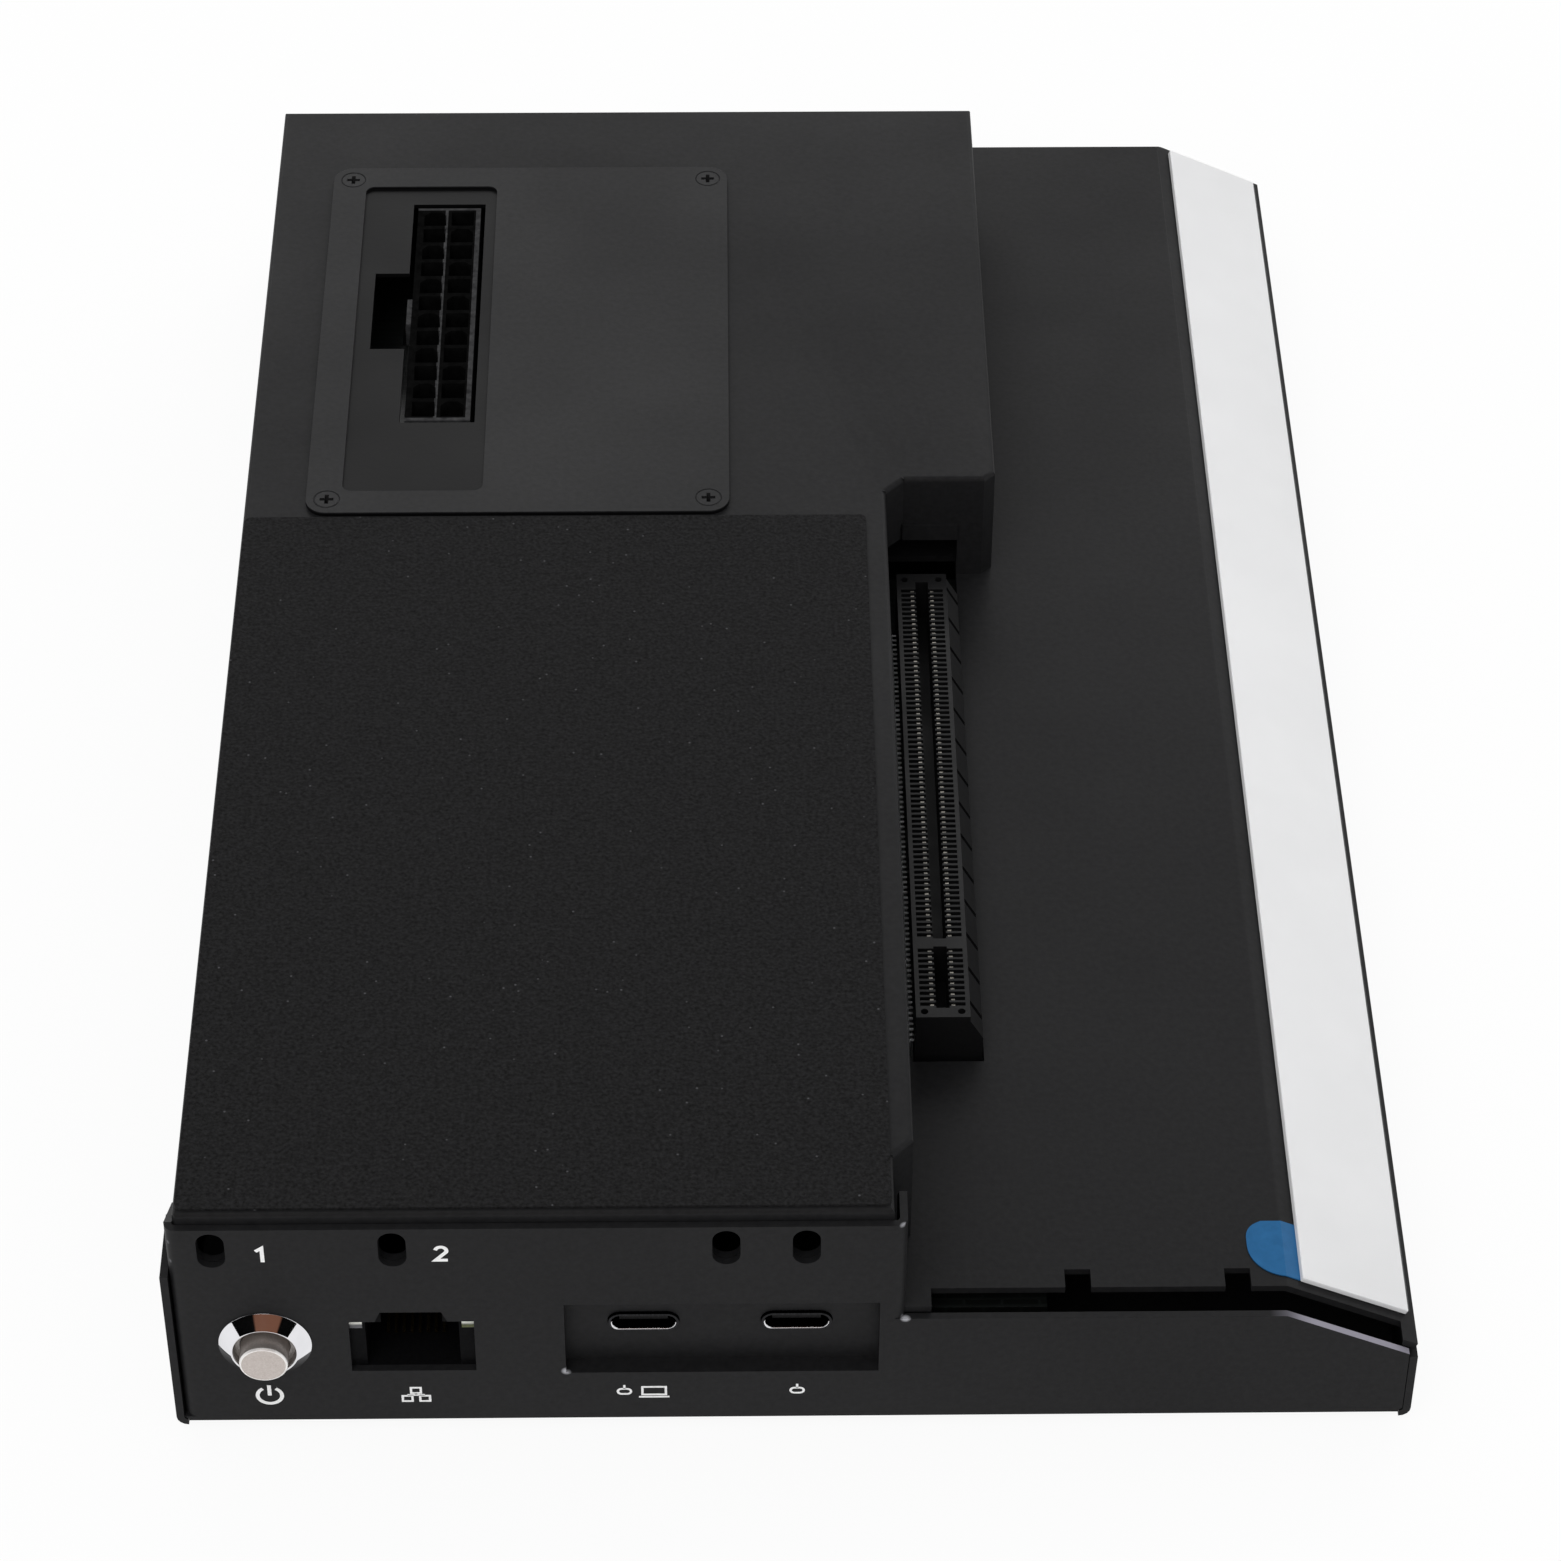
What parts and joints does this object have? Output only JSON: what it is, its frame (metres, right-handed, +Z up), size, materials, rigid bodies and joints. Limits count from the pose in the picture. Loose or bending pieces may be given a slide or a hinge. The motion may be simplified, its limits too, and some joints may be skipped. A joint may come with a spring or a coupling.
{
  "type": "external graphics card enclosure",
  "caption": "Low folded steel case with a card slot and deck for a graphics card, a raised box with a power supply mat, a power connector plate, front ports and a push button.",
  "frame": {"origin": "middle of the footprint, on the surface that the rubber feet stand on", "axes": "+Z up, -Y towards the front panel with the ports and button, +X towards the sloping side with the white trim"},
  "size_m": [0.1588, 0.2518, 0.0414],
  "materials": {
    "black_steel": "fine matte black powder coat on folded steel",
    "plate_steel": "matte black painted steel plate, a little lighter than the case",
    "mat": "thin black self-adhesive mat with a fine grain",
    "black_screws": "black oxide countersunk screws",
    "zinc": "zinc plated steel",
    "black_plastic": "moulded black glass-filled plastic",
    "white_plastic": "moulded off-white plastic",
    "contact_metal": "plated copper alloy",
    "bright_steel": "bright nickel plated steel",
    "chrome": "polished chrome plate",
    "satin_metal": "satin metal button face",
    "board": "glass fibre board with dark solder resist",
    "capacitor_sleeve": "sleeved aluminium can",
    "inductor_core": "pressed iron powder block",
    "black_aluminium": "black anodised aluminium",
    "ribbon": "flat ribbon cable jacket",
    "light_pipe": "translucent light pipe",
    "white_trim": "glossy white trim strip",
    "clear_film": "clear protective film",
    "blue_film": "blue pull tab of the protective film",
    "rubber": "black rubber"
  },
  "bodies": {
    "case": {"base_tray": "black_steel", "front_panel": "black_steel", "box_cover": "black_steel", "deck_cover": "black_steel", "power_supply_mat": "mat", "plug_plate": "plate_steel", "plug_plate_screws": "black_screws", "header_housing": "black_plastic", "header_pins": "contact_metal", "power_board": "board", "power_board_standoffs": "zinc", "power_board_screws": "zinc", "capacitors": "capacitor_sleeve", "inductors": "inductor_core", "main_board": "board", "main_board_standoffs": "zinc", "main_board_screws": "zinc", "controller_chip": "black_plastic", "heat_sink": "black_aluminium", "ribbon_cable": "ribbon", "ribbon_sockets": "white_plastic", "card_slot_housing": "black_plastic", "card_slot_contacts": "contact_metal", "left_port_shell": "bright_steel", "right_port_shell": "bright_steel", "left_port_tongue": "black_plastic", "right_port_tongue": "black_plastic", "jack_shell": "bright_steel", "jack_insert": "black_plastic", "jack_contacts": "contact_metal", "jack_lights": "light_pipe", "button_body": "chrome", "button_nut": "zinc", "button_spring": "zinc", "button_base": "black_plastic", "button_terminals": "contact_metal", "trim_strip": "white_trim", "protective_film": "clear_film", "film_tab": "blue_film", "rubber_feet": "rubber", "case_screws": "black_screws"},
    "button": {"button_plunger": "satin_metal"}
  },
  "joints": [
    {"name": "button_press", "type": "slide", "parent": "case", "child": "button", "axis": [0, 1, 0], "range_m": [0, 0.0014], "stiffness_N_per_m": 1200, "deforming": ["button_spring"]}
  ]
}
